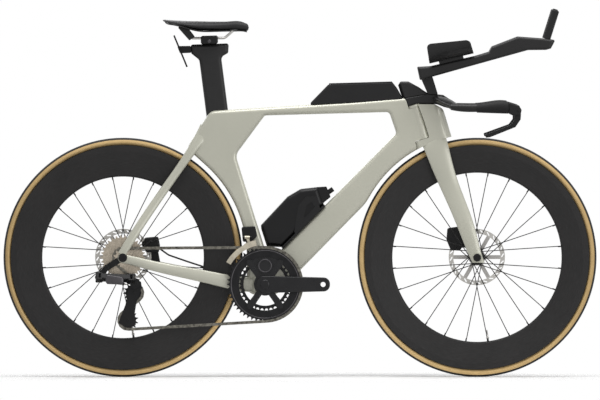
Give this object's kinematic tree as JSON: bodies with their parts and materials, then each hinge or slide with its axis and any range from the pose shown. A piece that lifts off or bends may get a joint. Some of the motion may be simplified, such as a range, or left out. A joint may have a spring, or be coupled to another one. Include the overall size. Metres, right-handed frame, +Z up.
{
  "type": "time trial bike",
  "caption": "Time trial bike with deep rims, tan-wall tyres, champagne grey aero frame and fork, arm rests with long extensions, a top tube box and an aero bottle",
  "frame": {"origin": "on the ground midway between the two wheels", "axes": "+X forward, +Y to the rider's left, +Z up"},
  "size_m": [1.6866, 0.413, 1.0476],
  "materials": {
    "paint": "metallic champagne grey, satin clear coat",
    "carbon": "matte carbon black",
    "black": "satin black anodised",
    "tread": "black tread with tan side walls",
    "spokes": "black steel",
    "steel": "brushed steel",
    "chain": "nickel-plated steel",
    "alloy": "machined aluminium",
    "cover": "matte black synthetic cover",
    "foam": "matte black foam",
    "grip": "matte textured rubber",
    "plastic": "matte black plastic"
  },
  "bodies": {
    "frame": {"frame": "paint", "bottom_bracket": "black", "headset_bearings": "steel", "derailleur_hanger": "black", "rear_axle": "black", "top_tube_box": "plastic", "bottle_cage": "plastic", "front_derailleur": "black", "rear_caliper": "black", "rear_brake_hose": "plastic", "chain": "chain"},
    "lid": {"top_tube_lid": "plastic"},
    "bottle": {"bottle": "plastic", "bottle_cap": "plastic"},
    "nozzle": {"bottle_nozzle": "plastic"},
    "seat": {"seatpost": "carbon", "accessory_bracket": "black", "saddle_clamp": "black", "saddle_shell": "carbon", "saddle_cover": "cover", "saddle_rails": "black"},
    "crank": {"crank_spindle": "black", "crank_arm_right": "black", "crank_arm_left": "black", "chainring_large": "black", "chainring_small": "black"},
    "cassette": {"cassette": "steel", "freehub_body": "alloy"},
    "rear_wheel": {"rear_hub": "black", "rear_spokes": "spokes", "rear_rim": "carbon", "rear_tyre": "tread", "rear_rotor": "steel"},
    "steering": {"fork": "paint", "base_bar": "carbon", "stem_fairing": "carbon", "bar_grips": "grip", "riser": "carbon", "arm_cups": "carbon", "arm_pads": "foam", "extensions": "carbon", "extension_grips": "grip", "front_axle": "black", "front_caliper": "black"},
    "front_wheel": {"front_hub": "black", "front_spokes": "spokes", "front_rim": "carbon", "front_tyre": "tread", "front_rotor": "steel"},
    "lever_right": {"brake_lever_right": "black"},
    "lever_left": {"brake_lever_left": "black"},
    "button_right": {"shift_button_right": "plastic"},
    "button_left": {"shift_button_left": "plastic"},
    "link_outer": {"derailleur_link_outer": "black"},
    "link_inner": {"derailleur_link_inner": "black"},
    "knuckle": {"derailleur_knuckle": "black"},
    "mech_cage": {"derailleur_cage": "black"},
    "guide": {"guide_pulley": "plastic"},
    "tension": {"tension_pulley": "plastic"},
    "front_mech_cage": {"front_derailleur_cage": "black"}
  },
  "joints": [
    {"name": "steering", "type": "hinge", "parent": "frame", "child": "steering", "pos_m": [0.35297, 0, 0.67781], "axis": [-0.2924, 0, 0.9563], "range_deg": [-40, 40]},
    {"name": "front_wheel", "type": "hinge", "parent": "steering", "child": "front_wheel", "pos_m": [0.5033, 0, 0.34], "axis": [0, 1, 0], "continuous": true},
    {"name": "rear_wheel", "type": "hinge", "parent": "frame", "child": "rear_wheel", "pos_m": [-0.5033, 0, 0.34], "axis": [0, 1, 0], "continuous": true},
    {"name": "crank", "type": "hinge", "parent": "frame", "child": "crank", "pos_m": [-0.09939, 0, 0.264], "axis": [0, 1, 0], "continuous": true, "deforming": ["chain"]},
    {"name": "cassette", "type": "hinge", "parent": "frame", "child": "cassette", "pos_m": [-0.5033, 0, 0.34], "axis": [0, 1, 0], "continuous": true},
    {"name": "derailleur_shift", "type": "hinge", "parent": "frame", "child": "link_outer", "pos_m": [-0.56347, -0.09249, 0.28778], "axis": [0, 0.5299, 0.848], "range_deg": [-4, 16], "stiffness_Nm_per_rad": 1, "springref_deg": -4.01, "deforming": ["chain"]},
    {"name": "inner_link", "type": "hinge", "parent": "frame", "child": "link_inner", "pos_m": [-0.56475, -0.08151, 0.28092], "axis": [0, 0.5299, 0.848], "range_deg": [-4, 16]},
    {"name": "knuckle", "type": "hinge", "parent": "link_outer", "child": "knuckle", "pos_m": [-0.48452, -0.08549, 0.28433], "axis": [0, 0.5299, 0.848], "range_deg": [-16, 4]},
    {"name": "chain_tensioner", "type": "hinge", "parent": "knuckle", "child": "mech_cage", "pos_m": [-0.46834, -0.067, 0.26722], "axis": [0, 1, 0], "range_deg": [-25, 35], "stiffness_Nm_per_rad": 0.6, "deforming": ["chain"]},
    {"name": "guide_pulley", "type": "hinge", "parent": "mech_cage", "child": "guide", "pos_m": [-0.47278, -0.0583, 0.24018], "axis": [0, 1, 0], "continuous": true},
    {"name": "tension_pulley", "type": "hinge", "parent": "mech_cage", "child": "tension", "pos_m": [-0.48857, -0.0583, 0.16277], "axis": [0, 1, 0], "continuous": true},
    {"name": "front_shift", "type": "hinge", "parent": "frame", "child": "front_mech_cage", "pos_m": [-0.14995, -0.045, 0.39727], "axis": [1, 0, 0], "range_deg": [0, 2], "stiffness_Nm_per_rad": 1, "deforming": ["chain"]},
    {"name": "lid", "type": "hinge", "parent": "frame", "child": "lid", "pos_m": [0.08261, 0, 0.83499], "axis": [0, -1, 0], "range_deg": [0, 80]},
    {"name": "bottle", "type": "slide", "parent": "frame", "child": "bottle", "axis": [0.7054, 0, 0.7089], "range_m": [0, 0.06]},
    {"name": "nozzle", "type": "slide", "parent": "bottle", "child": "nozzle", "axis": [0.8201, 0, 0.5723], "range_m": [0, 0.004]},
    {"name": "seat_height", "type": "slide", "parent": "frame", "child": "seat", "axis": [-0.1271, 0, 0.9919], "range_m": [-0.045, 0.02]},
    {"name": "brake_right", "type": "hinge", "parent": "steering", "child": "lever_right", "pos_m": [0.61632, -0.192, 0.75759], "axis": [0, 1, 0], "range_deg": [0, 18], "stiffness_Nm_per_rad": 1.5, "springref_deg": -5.73},
    {"name": "shift_right", "type": "slide", "parent": "steering", "child": "button_right", "axis": [-0.3007, 0, -0.9537], "range_m": [0, 0.0015], "stiffness_N_per_m": 600, "springref_m": -0.0005},
    {"name": "brake_left", "type": "hinge", "parent": "steering", "child": "lever_left", "pos_m": [0.61632, 0.192, 0.75759], "axis": [0, 1, 0], "range_deg": [0, 18], "stiffness_Nm_per_rad": 1.5, "springref_deg": -5.73},
    {"name": "shift_left", "type": "slide", "parent": "steering", "child": "button_left", "axis": [-0.3007, 0, -0.9537], "range_m": [0, 0.0015], "stiffness_N_per_m": 600, "springref_m": -0.0005}
  ],
  "couplings": [
    {"joint": "cassette", "follows": "crank", "ratio": 4},
    {"joint": "guide_pulley", "follows": "crank", "ratio": -4},
    {"joint": "tension_pulley", "follows": "crank", "ratio": 4},
    {"joint": "inner_link", "follows": "derailleur_shift", "ratio": 1},
    {"joint": "knuckle", "follows": "derailleur_shift", "ratio": -1}
  ]
}
